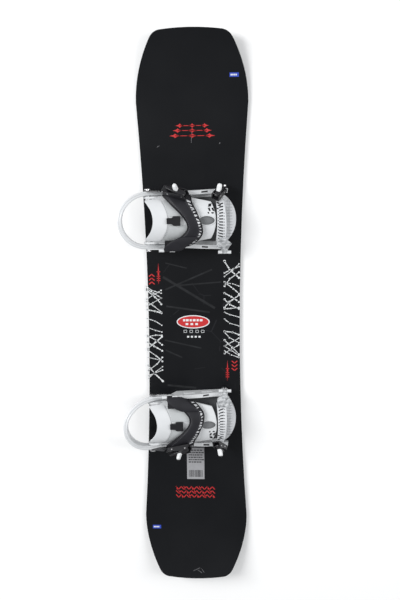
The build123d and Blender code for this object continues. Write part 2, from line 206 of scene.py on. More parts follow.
sidewall = moulded("sidewall_black", (0.016, 0.016, 0.018), 0.42)
laminate = moulded("glass_laminate", (0.10, 0.11, 0.09), 0.5)
for name in ("sidewalls", "tip_spacers"):
    dress(nodes[name], sidewall)
dress(nodes["laminates"], laminate)
core = Finish("core_wood", (0.62, 0.47, 0.30), 0.6)
glue_lines = {"Vector": core.place, "Scale": 20.0, "Distortion": 1.0}
strips = core.node("ShaderNodeTexWave", {"bands_direction": "X"}, glue_lines)
core.set("Base Color", core.blend(strips, (0.48, 0.33, 0.18), (0.70, 0.55, 0.37)))
dress(nodes["wood_core"], core)
base = Finish("base_waxed", (0.018, 0.018, 0.02), 0.3)
stone_grind = base.noise(500.0, 2.0, (1.0, 0.02, 1.0))
base.set("Roughness", 0.22 + stone_grind * 0.2)
base.bump(stone_grind, 0.2, 0.0001)
dress(nodes["base_sheet"], base)

# ---- Printed marks on the topsheet ----
# Flat screen-printed inks and two stuck labels. Each print is a very thin film that lies on
# the topsheet and follows it where it rises to the nose and the tail.
TOP = 0.010
CONTACT = 0.595
KICK_RADIUS = 0.43
FILM = 0.00012


def sheet_height(y):
    beyond = max(abs(y) - CONTACT, 0)
    return TOP + KICK_RADIUS - math.sqrt(KICK_RADIUS ** 2 - beyond ** 2)


def print_film(name, outlines, finish, lift=FILM):
    mesh = bpy.data.meshes.new(name)
    shape = bmesh.new()
    for outline in outlines:
        corners = [shape.verts.new((x, y, sheet_height(y) + lift)) for x, y in outline]
        shape.faces.new(corners)
    bmesh.ops.recalc_face_normals(shape, faces=shape.faces)
    for face in shape.faces:
        if face.normal.z < 0:
            face.normal_flip()
    shape.to_mesh(mesh)
    shape.free()
    film = bpy.data.objects.new(name, mesh)
    bpy.context.collection.objects.link(film)
    dress(film, finish)
    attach(film, "board")
    return film


def bar(start, end, width):
    run = Vector(end) - Vector(start)
    across = Vector((-run.y, run.x)).normalized() * width / 2
    return [tuple(Vector(p) + across * s) for p, s in ((start, -1), (end, -1), (end, 1), (start, 1))]


def oval(cx, cy, rx, ry, steps=64):
    turns = [2 * math.pi * i / steps for i in range(steps)]
    return [(cx + rx * math.cos(a), cy + ry * math.sin(a)) for a in turns]


def block(cx, cy, w, h):
    return [(cx + w / 2 * i, cy + h / 2 * j) for i, j in ((-1, -1), (1, -1), (1, 1), (-1, 1))]


def ink(name, colour, wear=0.5):
    paint = Finish(name, colour, 0.4, Coat_Weight=0.3, Coat_Roughness=0.15)
    worn = paint.noise(150.0, 5.0)
    faded = tuple(c * 0.35 for c in colour)
    paint.set("Base Color", paint.blend(worn.maths("MULTIPLY", wear), colour, faded))
    paint.set("Roughness", 0.3 + worn * 0.25)
    return paint


white_ink = ink("white_ink", (0.80, 0.82, 0.83))
red_ink = ink("red_ink", (0.55, 0.012, 0.014))
grey_ink = ink("grey_ink", (0.20, 0.20, 0.21))
blue_film = ink("blue_sticker", (0.015, 0.05, 0.42), 0.2)

diamonds = []
for y, spread in ((0.543, 0.034), (0.530, 0.040), (0.516, 0.047)):
    for column in (-1, 0, 1):
        x = spread * column
        wide = spread * 0.34
        waist = wide * 0.3
        diamonds.append([(x - wide, y), (x - waist, y + 0.0022), (x, y + 0.0058), (x + waist, y + 0.0022),
                         (x + wide, y), (x + waist, y - 0.0022), (x, y - 0.0058), (x - waist, y - 0.0022)])
    diamonds.append(bar((-spread, y), (spread, y), 0.0016))
print_film("print_star_grid", diamonds, red_ink)

for name, x, y in (("label_nose_blue", 0.1145, 0.674), ("label_tail_blue", -0.120, -0.645)):
    steps = 6
    strip = []
    for i in range(steps):
        low = y - 0.0055 + 0.011 * i / steps
        high = y - 0.0055 + 0.011 * (i + 1) / steps
        strip.append([(x - 0.0125, low), (x + 0.0125, low), (x + 0.0125, high), (x - 0.0125, high)])
    print_film(name, strip, blue_film)
    rule = [block(x + dx, y, 0.0035, 0.004) for dx in (-0.008, -0.0035, 0.001, 0.0055)]
    print_film(name + "_rule", rule, white_ink, 2 * FILM)


def dashed(start, end, dash, gap, width, draw):
    run = Vector(end) - Vector(start)
    length = run.length
    step = run.normalized()
    films = []
    at = 0.0
    while at + dash < length:
        size = dash * draw.uniform(0.6, 1.3)
        first = Vector(start) + step * at
        last = first + step * size
        films.append(bar(tuple(first), tuple(last), width * draw.uniform(0.6, 1.15)))
        at += size + gap * draw.uniform(0.5, 1.4)
    return films


def tangle(name, x_low, x_high, runs, seed):
    draw = random.Random(seed)
    films = []
    for y_start, y_end, weight in runs:
        bend = (x_low + x_high) / 2 + draw.uniform(-0.006, 0.006)
        middle = (bend, (y_start + y_end) / 2 + draw.uniform(-0.003, 0.003))
        for a, b in (((x_low, y_start), middle), (middle, (x_high, y_end))):
            films += dashed(a, b, 0.0055, 0.0009, 0.0022 * weight, draw)
            films.append(oval(b[0] - 0.0006, b[1], 0.0021 * weight, 0.0019 * weight, 10))
        films.append(oval(x_low + 0.001, y_start, 0.0022 * weight, 0.002 * weight, 10))
    print_film(name, films, white_ink)


HEEL_RUNS = [(0.092, 0.064, 1.3), (0.098, 0.078, 1.0), (0.088, 0.046, 1.5), (0.060, 0.086, 1.2),
             (0.054, 0.022, 1.2), (0.040, 0.064, 1.0), (0.030, 0.020, 1.5), (0.004, -0.016, 1.0),
             (-0.022, -0.036, 1.0), (-0.046, -0.074, 1.4), (-0.050, -0.046, 1.2), (-0.086, -0.050, 1.5),
             (-0.066, -0.092, 1.4), (-0.090, -0.124, 1.3), (-0.112, -0.122, 0.9), (-0.152, -0.112, 1.3),
             (-0.136, -0.184, 1.7), (-0.176, -0.140, 1.0), (-0.168, -0.150, 1.2)]
tangle("print_tangle_heel", -0.1365, -0.0935, HEEL_RUNS, 11)
TOE_RUNS = [(-y_end - 0.014, -y_start - 0.014, weight) for y_start, y_end, weight in HEEL_RUNS]
tangle("print_tangle_toe", 0.0865, 0.1290, TOE_RUNS, 12)


def chevrons(x, y, flip, count=3):
    films = []
    for i in range(count):
        top = y + flip * i * 0.011
        films.append(bar((x - 0.008, top), (x, top + flip * 0.007), 0.0028))
        films.append(bar((x, top + flip * 0.007), (x + 0.008, top), 0.0028))
    return films


def needle(x, low, high):
    y = (low + high) / 2
    long = (high - low) / 2
    films = [[(x, low), (x + 0.0022, y), (x, high), (x - 0.0022, y)]]
    rungs = [low + long * k for k in (0.4, 0.6, 0.8, 1.2)]
    films += [bar((x - 0.005, rung), (x + 0.005, rung), 0.0022) for rung in rungs]
    return films


print_film("print_glyphs_heel", chevrons(-0.120, 0.104, 1) + needle(-0.1005, 0.102, 0.165), red_ink)
print_film("print_glyphs_toe", chevrons(0.116, -0.122, -1) + needle(0.0955, -0.183, -0.120), red_ink)

BADGE = (-0.003, -0.006)
ring = []
outer_oval = oval(*BADGE, 0.0475, 0.0195)
inner_oval = oval(*BADGE, 0.0445, 0.0168)
for i in range(len(outer_oval)):
    k = (i + 1) % len(outer_oval)
    ring.append([outer_oval[i], outer_oval[k], inner_oval[k], inner_oval[i]])
print_film("badge_red", [oval(*BADGE, 0.0445, 0.0168)], red_ink)
print_film("badge_ring", ring, white_ink, 2 * FILM)
badge_bars = [block(BADGE[0] + dx, BADGE[1] + 0.0048, w, 0.0062) for dx, w in
              ((-0.026, 0.006), (-0.017, 0.008), (-0.007, 0.006),
               (0.003, 0.008), (0.013, 0.006), (0.023, 0.008))]
badge_bars += [block(BADGE[0] + dx, BADGE[1] - 0.0066, 0.0075, 0.0058) for dx in (-0.018, -0.004, 0.010)]
print_film("badge_bars", badge_bars, white_ink, 2 * FILM)
size_marks = []
SQUARE_SIDES = ((0, 0.0035, 0.009, 0.001), (0, -0.0035, 0.009, 0.001),
                (-0.004, 0, 0.001, 0.007), (0.004, 0, 0.001, 0.007))
for x in (-0.026, -0.009, 0.008, 0.024):
    for dx, dy, w, h in SQUARE_SIDES:
        size_marks.append(block(x + dx, -0.034 + dy, w, h))
size_marks += [block(x, -0.050, 0.006, 0.005) for x in (-0.018, -0.007, 0.004, 0.015)]
print_film("print_size_marks", size_marks, white_ink)

label_paper = ink("label_paper", (0.33, 0.33, 0.345), 0.3)
label_ink = ink("label_ink", (0.02, 0.02, 0.022), 0.1)
print_film("label_care", [block(0.0, -0.440, 0.052, 0.100)], label_paper, 2 * FILM)
draw = random.Random(5)
label_lines = []
for row in range(6):
    x = -0.021
    while x < 0.018:
        wide = draw.uniform(0.003, 0.008)
        label_lines.append(block(x + wide / 2, -0.398 - row * 0.0075, wide, 0.0036))
        x += wide + 0.0016
x = -0.020
while x < 0.020:
    wide = draw.uniform(0.0007, 0.0022)
    label_lines.append(block(x, -0.472, wide, 0.022))
    x += wide + draw.uniform(0.0009, 0.002)
print_film("label_care_lines", label_lines, label_ink, 3 * FILM)

faint_ink = Finish("faint_ink", (0.016, 0.0165, 0.018), 0.5, Specular_IOR_Level=0.15)
patchy = faint_ink.noise(40.0, 5.0)
faint_ink.set("Base Color", faint_ink.blend(patchy, (0.004, 0.0045, 0.005), (0.026, 0.027, 0.030)))
faint = [bar((-0.088, 0.125), (0.060, 0.034), 0.007), bar((-0.082, 0.088), (0.052, 0.146), 0.0045),
         bar((-0.050, 0.100), (0.078, 0.110), 0.004), bar((-0.080, 0.040), (0.045, 0.022), 0.005),
         bar((-0.080, 0.165), (-0.020, 0.150), 0.003), bar((-0.086, -0.060), (0.020, -0.084), 0.004),
         bar((-0.080, -0.196), (0.004, -0.204), 0.006), bar((-0.084, -0.090), (-0.036, -0.112), 0.004)]
for i, stroke in enumerate(faint):
    print_film(f"print_faint_{i}", [stroke], faint_ink, FILM * (0.4 + 0.06 * i))

waves = []
for row in range(3):
    for k in range(15):
        x = -0.060 + k * 0.0078
        y = -0.519 - row * 0.013
        rise = 0.0045 if k % 2 else -0.0045
        waves.append(bar((x, y - rise), (x + 0.0078, y + rise), 0.0026))
        if k % 3 == row % 3:
            waves.append(bar((x, y + 0.006), (x + 0.004, y - 0.006), 0.0018))
print_film("print_waves", waves, red_ink)
scuffs = [bar((-0.003, 0.497), (-0.001, 0.536), 0.0007), bar((-0.098, 0.486), (-0.091, 0.490), 0.0008),
          bar((0.074, 0.494), (0.076, 0.497), 0.0016), bar((-0.008, -0.770), (0.012, -0.762), 0.0008),
          bar((0.006, -0.768), (0.018, -0.776), 0.0008), bar((0.016, -0.764), (0.024, -0.774), 0.0008)]
print_film("print_scuffs", scuffs, grey_ink)

# ---- Binding plastics ----
# Baseplate, rails, hoop and ramp are injection-moulded white nylon, glossy with a fine grain.
# Clips, ladders and the disc are black. Screws are steel.
white_nylon = moulded("binding_white", (0.66, 0.675, 0.69), 0.32, dirt=0.12,
                      Coat_Weight=0.25, Coat_Roughness=0.15)
ramp_nylon = moulded("ramp_white", (0.62, 0.635, 0.655), 0.42, dirt=0.14)
# the recess grey is partly the panel's own grey tone and partly painted shade of the lean adjuster's recess
recess_tone_and_shade = moulded("recess_panel_shade_grey", (0.52, 0.54, 0.55), 0.34, dirt=0.25)
# this black ink prints the toe cap's slots over its black liner, and is also painted shade for the slots in
# the side rails
ink_and_slot_shade = ink("ink_and_slot_shade", (0.012, 0.012, 0.014), 0.4)
black_nylon = moulded("trim_black", (0.008, 0.008, 0.010), 0.36, Specular_IOR_Level=0.35)
ladder_nylon = moulded("ladder_black", (0.03, 0.03, 0.034), 0.28, Coat_Weight=0.3)
disc_nylon = moulded("disc_grey", (0.07, 0.07, 0.075), 0.5)
clear_nylon = moulded("bracket_clear", (0.55, 0.57, 0.59), 0.2, grain=0.4,
                      Transmission_Weight=0.3, Coat_Weight=0.5)
streaks = clear_nylon.noise(95.0, 6.0, (1.0, 1.6, 1.0))
veins = streaks.maths("MULTIPLY_ADD", 3.0, -1.0)
clear_nylon.set("Base Color", clear_nylon.blend(veins, (0.20, 0.21, 0.22), (0.80, 0.82, 0.84)))
buckle_metal = moulded("buckle_black", (0.012, 0.012, 0.015), 0.32, dirt=0.3, Specular_IOR_Level=0.4)
foam = moulded("footbed_foam", (0.05, 0.052, 0.056), 0.75, grain=0.5)
for side in SIDES:
    for name, finish in (("baseplate", white_nylon), ("toe_ramp", ramp_nylon), ("disc", disc_nylon),
                         ("footbed", foam), ("highback", white_nylon), ("lean_adjuster", black_nylon),
                         ("ankle_bracket", black_nylon), ("ankle_extender", white_nylon),
                         ("ankle_ladder", ladder_nylon), ("toe_ladder", ladder_nylon),
                         ("ankle_buckle", buckle_metal), ("toe_buckle", buckle_metal),
                         ("ankle_release", buckle_metal), ("toe_release", buckle_metal),
                         ("toe_bracket", clear_nylon), ("toe_extender", white_nylon),
                         ("toe_cap", ramp_nylon)):
        dress(nodes[side + "_" + name], finish)

# ---- Heel hoop ----
# A bent white band that carries the highback: a tall flat wall with a rounded lip along its
# top edge, bolted to the rails at both ends.
BINDING_Y = {"front": 0.290, "rear": -0.290}
TILT = math.radians(5.0)
PIVOT = Vector((-0.120, 0, 0.060))


def placed(side, x, y, z, tilted=True):
    """A point of a binding's own frame, in millimetres, brought to the board's frame in metres."""
    point = Vector((x, y, z)) / 1000
    if tilted:
        arm = point - PIVOT
        point = PIVOT + Vector((arm.x * math.cos(TILT) + arm.z * math.sin(TILT), arm.y,
                                arm.z * math.cos(TILT) - arm.x * math.sin(TILT)))
    hand = 1 if side == "front" else -1
    return Vector((point.x, point.y * hand + BINDING_Y[side], point.z + TOP))


def loft(name, rings, body, finish, replaced=(), levels=1, smooth=40):
    """A closed skin through rings of points, with both ends closed."""
    return lofts(name, [rings], body, finish, replaced, levels, smooth)


def lofts(name, shells, body, finish, replaced=(), levels=1, smooth=40):
    mesh = bpy.data.meshes.new(name)
    shape = bmesh.new()
    for rings in shells:
        rows = [[shape.verts.new(p) for p in ring_points] for ring_points in rings]
        count = len(rows[0])
        for first, second in zip(rows, rows[1:]):
            for i in range(count):
                k = (i + 1) % count
                shape.faces.new((first[i], first[k], second[k], second[i]))
        shape.faces.new(rows[0])
        shape.faces.new(rows[-1])
    bmesh.ops.recalc_face_normals(shape, faces=shape.faces)
    shape.to_mesh(mesh)
    shape.free()
    piece = bpy.data.objects.new(name, mesh)
    bpy.context.collection.objects.link(piece)
    finish_piece(piece, body, finish, replaced, levels, smooth)
    return piece


def finish_piece(piece, body, finish, replaced=(), levels=1, smooth=40):
    bpy.ops.object.select_all(action="DESELECT")
    piece.select_set(True)
    bpy.context.view_layer.objects.active = piece
    if levels:
        rounding = piece.modifiers.new("rounding", "SUBSURF")
        rounding.levels = levels
        rounding.render_levels = levels
        bpy.ops.object.modifier_apply(modifier="rounding")
    bpy.ops.object.shade_smooth_by_angle(angle=math.radians(smooth))
    piece.select_set(False)
    dress(piece, finish)
    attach(piece, body)
    if replaced:
        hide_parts(*replaced)


def along(points, value):
    """Height of a smooth line through a few (place, height) points."""
    points = sorted(points)
    value = min(max(value, points[0][0]), points[-1][0])
    for i in range(len(points) - 1):
        (a, p), (b, q) = points[i], points[i + 1]
        if value <= b:
            break
    before = points[i - 1] if i else (a - (b - a), p - (q - p))
    after = points[i + 2] if i + 2 < len(points) else (b + (b - a), q + (q - p))
    t = (value - a) / (b - a)
    lead = (q - before[1]) / (b - before[0]) * (b - a)
    tail = (after[1] - p) / (after[0] - a) * (b - a)
    return ((2 * t ** 3 - 3 * t ** 2 + 1) * p + (t ** 3 - 2 * t ** 2 + t) * lead
            + (3 * t ** 2 - 2 * t ** 3) * q + (t ** 3 - t ** 2) * tail)


HOOP_TOP = [(-199, 118), (-165, 99), (-132, 78), (-106, 58), (-70, 44)]
HOOP_LOW = [(-199, 80), (-150, 52), (-112, 30), (-70, 24)]
HOOP_MIDDLE = 72
HOOP_BEND_X = -119
# the band's section: offset outwards, 0 to measure from the foot or 1 from the top, and the share or the lift
section = ((-4, 0, 0), (4, 0, 0), (4, 0, 0.5), (4.8, 1, -9), (6.4, 1, -6), (6.6, 1, -1.8), (4.4, 1, 0),
           (1.8, 1, 0.3), (1.0, 1, -1.4), (-0.6, 1, -1.4), (-1.4, 1, 0.3), (-4.2, 1, 0), (-6.0, 1, -1.8),
           (-5.8, 1, -6), (-4, 1, -9), (-4, 0, 0.5))
for side in SIDES:
    rings = []
    stations = [("leg", 1, x) for x in (-66, -68, -80, -95, -108)]
    stations += [("bend", 1, a) for a in range(0, 181, 6)]
    stations += [("leg", -1, x) for x in (-108, -95, -80, -68, -66)]
    for kind, hand, value in stations:
        ring_points = []
        if kind == "leg":
            centre = (value, HOOP_MIDDLE * hand)
            out = (0, hand)
        else:
            turn = math.radians(90 + value)
            out = (math.cos(turn), math.sin(turn))
            centre = (HOOP_BEND_X + out[0] * HOOP_MIDDLE, out[1] * HOOP_MIDDLE)
        high = along(HOOP_TOP, centre[0])
        low = along(HOOP_LOW, centre[0])
        for offset, top_share, lift in section:
            z = high + lift if top_share else low + (high - low) * lift
            x = centre[0] + out[0] * offset
            y = centre[1] + out[1] * offset
            ring_points.append(placed(side, x, y, z, False))
        rings.append(ring_points)
    loft(side + "_heel_hoop_band", rings, "board", white_nylon, (side + "_heel_hoop",))

# ---- Highback cover ----
# Over the highback's shell lie its moulded features: a raised white heel band with a sharp
# ridge, a grey recess for the lean adjuster, its grey partly its own tone and partly painted
# shade, a long upper panel, and a rim round its oval window.
SHELL_R = 81
SHELL_Z = 10


def on_arch(side, x, y, lift, radius=SHELL_R, centre_z=SHELL_Z, tilted=True):
    span = math.sqrt(max(radius ** 2 - y ** 2, 0))
    tangent = math.atan2(y, span)
    return placed(side, x, y + lift * math.sin(tangent), centre_z + span + lift * math.cos(tangent), tilted)


def arch_plate(name, side, y_low, y_high, left, right, heights, body, finish,
               columns=8, rows=28, floor=-0.6, **options):
    """A plate on the highback's arch between two edge lines, with a height for each column."""
    rings = []
    for j in range(rows + 1):
        y = y_low + (y_high - y_low) * j / rows
        a = left(y)
        b = right(y)
        top = [(a + (b - a) * i / columns, heights(i / columns, y)) for i in range(columns + 1)]
        ring_points = [on_arch(side, x, y, h, **options) for x, h in top]
        ring_points += [on_arch(side, b, y, floor, **options), on_arch(side, a, y, floor, **options)]
        rings.append(ring_points)
    return loft(name, rings, body, finish, levels=1, smooth=35)


def arch_print(name, side, marks, body, finish, radius=SHELL_R, centre_z=SHELL_Z, tilted=True,
               lift=0.15, steps=4):
    """Flat ink on an arch: each mark is four corners, the first two at one y and the last two at another."""
    mesh = bpy.data.meshes.new(name)
    shape = bmesh.new()
    for a, b, c, d in marks:
        rows = []
        for i in range(steps + 1):
            k = i / steps
            low = (a[0] + (d[0] - a[0]) * k, a[1] + (d[1] - a[1]) * k)
            high = (b[0] + (c[0] - b[0]) * k, b[1] + (c[1] - b[1]) * k)
            rows.append([shape.verts.new(on_arch(side, *low, lift, radius, centre_z, tilted)),
                         shape.verts.new(on_arch(side, *high, lift, radius, centre_z, tilted))])
        for first, second in zip(rows, rows[1:]):
            shape.faces.new((first[0], first[1], second[1], second[0]))
    for face in shape.faces:
        face.normal_update()
        if face.normal.z < 0:
            face.normal_flip()
    shape.to_mesh(mesh)
    shape.free()
    film = bpy.data.objects.new(name, mesh)
    bpy.context.collection.objects.link(film)
    dress(film, finish)
    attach(film, body)


LOW_EDGE = [(-60, -127), (-50, -127), (-25, -112), (0, -106.5), (25, -112), (50, -127), (60, -127)]
RIDGE = [(-60, -88), (-47, -80), (-22, -69), (0, -66), (22, -69), (47, -80), (60, -88)]
for side in SIDES:
    body = side + "_highback_body"
    arch_plate(side + "_heel_band", side, -57, 57, lambda y: along(LOW_EDGE, y), lambda y: along(RIDGE, y),
               lambda k, y: 0.8 + 2.6 * k ** 1.5 * (1 - (y / 60) ** 4), body, white_nylon)
    for hand in (1, -1):
        low, high = sorted((11 * hand, 54 * hand))
        # the recess panels are coloured grey: partly their own tone, partly painted shade of the recess
        arch_plate(f"{side}_recess_{'a' if hand > 0 else 'b'}", side, low, high,
                   lambda y: along(RIDGE, y) + 1.5, lambda y: -6 + 0.002 * y * y,
                   lambda k, y: 0.3 + 0.9 * k, body, recess_tone_and_shade)
    arch_plate(side + "_upper_panel", side, -48, 48, lambda y: -2 + abs(y) * 0.1,
               lambda y: 20 - 0.004 * y * y, lambda k, y: 1.4 * math.sin(math.pi * min(k, 0.96)) + 0.2,
               body, white_nylon)
    rim = []
    for i in range(49):
        a = 2 * math.pi * i / 48
        ring_points = []
        for dx, lift in ((0.2, -0.3), (0.2, 1.0), (1.2, 1.6), (2.6, 1.0), (3.4, -0.3)):
            ring_points.append(on_arch(side, 38 + (21.5 + dx) * math.cos(a), (11.5 + dx) * math.sin(a), lift))
        rim.append(ring_points)
    mesh = bpy.data.meshes.new(side + "_oval_rim")
    shape = bmesh.new()
    rows = [[shape.verts.new(p) for p in ring_points] for ring_points in rim[:-1]]
    for j in range(48):
        first, second = rows[j], rows[(j + 1) % 48]
        for i in range(5):
            k = (i + 1) % 5
            shape.faces.new((first[i], first[k], second[k], second[i]))
    bmesh.ops.recalc_face_normals(shape, faces=shape.faces)
    shape.to_mesh(mesh)
    shape.free()
    oval_rim = bpy.data.objects.new(side + "_oval_rim", mesh)
    bpy.context.collection.objects.link(oval_rim)
    finish_piece(oval_rim, body, white_nylon, levels=1)
    badge = [((44, 44), (52, 45), (50, 37), (42, 36)), ((54, 46), (60, 44), (61, 34), (57, 33)),
             ((41, 33), (47, 34), (49, 25), (45, 25)), ((51, 33), (56, 34), (60, 24), (54, 26)),
             ((40, 22), (44, 23), (45, 18), (42, 18)), ((50, 22), (58, 22), (56, 18), (52, 18))]
    arch_print(side + "_highback_badge", side, badge, body, black_nylon)

# ---- Highback lining ----
# A thin foam pad with a knitted face, glued to the leg side of the highback.
strap_skin = Finish("strap_skin", (0.010, 0.010, 0.013), 0.5, Specular_IOR_Level=0.3)
pores = strap_skin.node("ShaderNodeTexVoronoi", {}, {"Vector": strap_skin.place, "Scale": 620.0})
folds = strap_skin.noise(38.0, 5.0)
strap_skin.set("Base Color", strap_skin.blend(folds, (0.006, 0.006, 0.008), (0.015, 0.015, 0.020)))
strap_skin.set("Roughness", 0.40 + folds * 0.25)
strap_skin.bump(pores * 0.7 + folds * 0.6, 0.5, 0.0003)
knit = Finish("lining_knit", (0.22, 0.23, 0.24), 0.9, Sheen_Weight=0.3)
gauge = {"Vector": knit.place, "Scale": 160.0}
loops = knit.node("ShaderNodeTexWave", {"bands_direction": "X"}, gauge)
rows_of_loops = knit.node("ShaderNodeTexWave", {"bands_direction": "Y"}, gauge)
weave = loops * rows_of_loops
knit.set("Base Color", knit.blend(weave, (0.13, 0.135, 0.14), (0.27, 0.28, 0.29)))
knit.bump(weave, 0.6, 0.0004)


def pad_rings(side, y_low, y_high, left, right, inner, outer, centre_z, tilted,
              rows=30, columns=12, edge=0.32):
    rings = []
    for j in range(rows + 1):
        y = y_low + (y_high - y_low) * j / rows
        along_pad = 2 * j / rows - 1
        end = max(1 - abs(along_pad) ** 14, 0.0) ** 0.5
        a = left(y)
        b = right(y)
        over = []
        under = []
        for i in range(columns + 1):
            k = 2 * i / columns - 1
            x = a + (b - a) * i / columns
            crown = (1 - abs(k) ** 3.2) ** 0.5 if abs(k) < 1 else 0
            lift = (outer - inner) * (edge + (1 - edge) * crown * (0.35 + 0.65 * end))
            over.append(on_arch(side, x, y, lift, inner, centre_z, tilted))
            under.append(on_arch(side, x, y, 0.3 if 0 < i < columns else 1.4, inner, centre_z, tilted))
        rings.append(over + under[::-1])
    return rings


SLOT_ENDS = (-76, -34)    # the lean adjuster's nut slides here
SLOT_R = 9
for side in SIDES:
    left_line = [(-50, -88), (-44, -92), (0, -92), (44, -92), (50, -88)]
    right_line = [(-50, 20), (-44, 36), (-28, 54), (0, 61), (28, 54), (44, 36), (50, 20)]
    rings = pad_rings(side, -49, 49, lambda y: along(left_line, y), lambda y: along(right_line, y),
                      70.6, 76.3, SHELL_Z, True, edge=0.6)
    lining = loft(side + "_lining_pad", rings, side + "_highback_body", knit,
                  (side + "_highback_lining",), levels=1)
    slot = []
    for z in (60, 110):
        ring_points = []
        for a in range(-170, 190, 20):
            end = SLOT_ENDS[0] if abs(a) > 90 else SLOT_ENDS[1]
            turn = math.radians(a)
            ring_points.append(placed(side, end + SLOT_R * math.cos(turn), SLOT_R * math.sin(turn), z))
        slot.append(ring_points)
    mesh = bpy.data.meshes.new("lining_slot")
    shape = bmesh.new()
    low, high = [[shape.verts.new(p) for p in ring_points] for ring_points in slot]
    for i in range(len(low)):
        k = (i + 1) % len(low)
        shape.faces.new((low[i], low[k], high[k], high[i]))
    shape.faces.new(low)
    shape.faces.new(high)
    bmesh.ops.recalc_face_normals(shape, faces=shape.faces)
    shape.to_mesh(mesh)
    shape.free()
    cutter = bpy.data.objects.new("lining_slot", mesh)
    bpy.context.collection.objects.link(cutter)
    cut = lining.modifiers.new("slot", "BOOLEAN")
    cut.object = cutter
    cut.solver = "EXACT"
    bpy.context.view_layer.objects.active = lining
    bpy.ops.object.modifier_apply(modifier="slot")
    bpy.data.objects.remove(cutter)

# ---- Ankle strap ----
# A moulded foam pad with a pebbled synthetic skin. It crosses the folded highback, wider at
# its buckle end, with a raised middle panel, piped edges, stitches and pale printed dashes.
ANKLE_LEFT = [(-70, -74), (-46, -38), (-20, -15), (6, -24), (42, -60), (67, -84)]
ANKLE_RIGHT = [(-70, -22), (-58, 6), (-30, 27), (20, 12), (44, 0), (67, -4)]
ANKLE_IN = 89.3
ANKLE_OUT = 101
ANKLE_Z = 5


def tube_rings(path, radius, sides):
    rings = []
    for i, point in enumerate(path):
        ahead = path[min(i + 1, len(path) - 1)] - path[max(i - 1, 0)]
        ahead.normalize()
        across = ahead.cross(Vector((0, 0, 1))).normalized()
        up = across.cross(ahead)
        rings.append([point + across * radius * math.cos(2 * math.pi * k / sides)
                      + up * radius * math.sin(2 * math.pi * k / sides) for k in range(sides)])
    return rings


STRAP_END = ((-42, 97.4, -34, 20), (-48, 98.2, -46, 13), (-56, 97.6, -60, 2), (-64, 94.6, -71, -8),
             (-72, 90.6, -78, -19), (-79, 86.4, -80, -27), (-84, 82.6, -77, -32))
stitch_thread = Finish("stitch_thread", (0.10, 0.10, 0.11), 0.8)
twist = stitch_thread.noise(900.0)
stitch_thread.bump(twist, 0.4, 0.0002)
pale_print = ink("pale_print", (0.62, 0.63, 0.65), 0.5)
for side in SIDES:
    body = side + "_ankle_strap_body"
    rings = pad_rings(side, -70, 67, lambda y: along(ANKLE_LEFT, y), lambda y: along(ANKLE_RIGHT, y),
                      ANKLE_IN, ANKLE_OUT, ANKLE_Z, True, rows=44, columns=16)
    pad = loft(side + "_ankle_strap_pad", rings, body, strap_skin, (side + "_ankle_pad",),
               levels=1, smooth=70)

    def pad_point(y, share, lift):
        a = along(ANKLE_LEFT, y)
        b = along(ANKLE_RIGHT, y)
        k = abs(2 * share - 1)
        crown = (1 - k ** 3.2) ** 0.5 if k < 1 else 0
        height = (ANKLE_OUT - ANKLE_IN) * (0.32 + 0.68 * crown) + lift
        return on_arch(side, a + (b - a) * share, y, height, ANKLE_IN, ANKLE_Z, True)

    for tag, share in (("heel", 0.012), ("toe", 0.988)):
        path = [pad_point(-67 + 131 * j / 60, share, 0.4) for j in range(61)]
        loft(f"{side}_ankle_piping_{tag}", tube_rings(path, 0.0012, 8), body, black_nylon,
             levels=0, smooth=60)
    stitches = []
    for share in (0.13, 0.72):
        for j in range(29):
            y = -56 + 4.1 * j
            stitches.append(tube_rings([pad_point(y + 1.2 * k, share, 0.15) for k in range(3)], 0.00035, 5))
    lofts(side + "_ankle_stitches", stitches, body, stitch_thread, levels=0, smooth=60)
    draw = random.Random(21)
    dashes = []
    y = -60.0
    while y < 50:
        tall = draw.uniform(2.0, 6.0)
        near = draw.uniform(0.76, 0.80)
        far = draw.uniform(0.90, 0.95)
        lean = draw.uniform(-2.5, 2.5)
        rings = []
        for k in range(4):
            share = near + (far - near) * k / 3
            low = pad_point(y + lean * k / 3, share, 0.05)
            high = pad_point(y + tall * (1 - 0.15 * k) + lean * k / 3, share, 0.05)
            rings.append([low, high, high + Vector((0, 0, 0.0005)), low + Vector((0, 0, 0.0005))])
        dashes.append(rings)
        y += tall + draw.uniform(2.0, 4.5)
    lofts(side + "_ankle_dashes", dashes, body, pale_print, levels=0)

    # the medial end of the strap, sewn round its bracket
    rings = []
    for y, top, low_x, high_x in STRAP_END:
        ring_points = []
        for k in range(9):
            share = k / 8
            crown = 1.6 * (1 - (2 * share - 1) ** 4)
            ring_points.append(placed(side, low_x + (high_x - low_x) * share, y, top + crown - 1.0))
        for k in range(8, -1, -1):
            ring_points.append(placed(side, low_x + (high_x - low_x) * k / 8, y + 0.4, top - 2.6))
        rings.append(ring_points)
    loft(side + "_ankle_strap_end", rings, body, strap_skin, levels=1, smooth=60)

# ---- Ratchet levers ----
# Each ratchet lever is a curved black arm, fat at its pin and thin at its free end, with a
# white cupped finger tab standing on it.
BUCKLES = {"ankle": (-44, 101, 5, 44, 22, True), "toe": (73, 88, -8, 49, 120, False)}


def on_buckle(side, kind, u, v, n):
    """A point of a buckle: u along it, v across it, n away from the strap."""
    x, radius, centre_z, angle, turn, tilted = BUCKLES[kind]
    a = math.radians(angle)
    t = math.radians(turn)
    normal = Vector((0, math.sin(a), math.cos(a)))
    tangent = Vector((0, -math.cos(a), math.sin(a)))
    length = Vector((math.cos(t), 0, 0)) + tangent * math.sin(t)
    across = normal.cross(length)
    point = Vector((x, 0, centre_z)) + normal * (radius + n) + length * u + across * v
    return placed(side, *point, tilted)


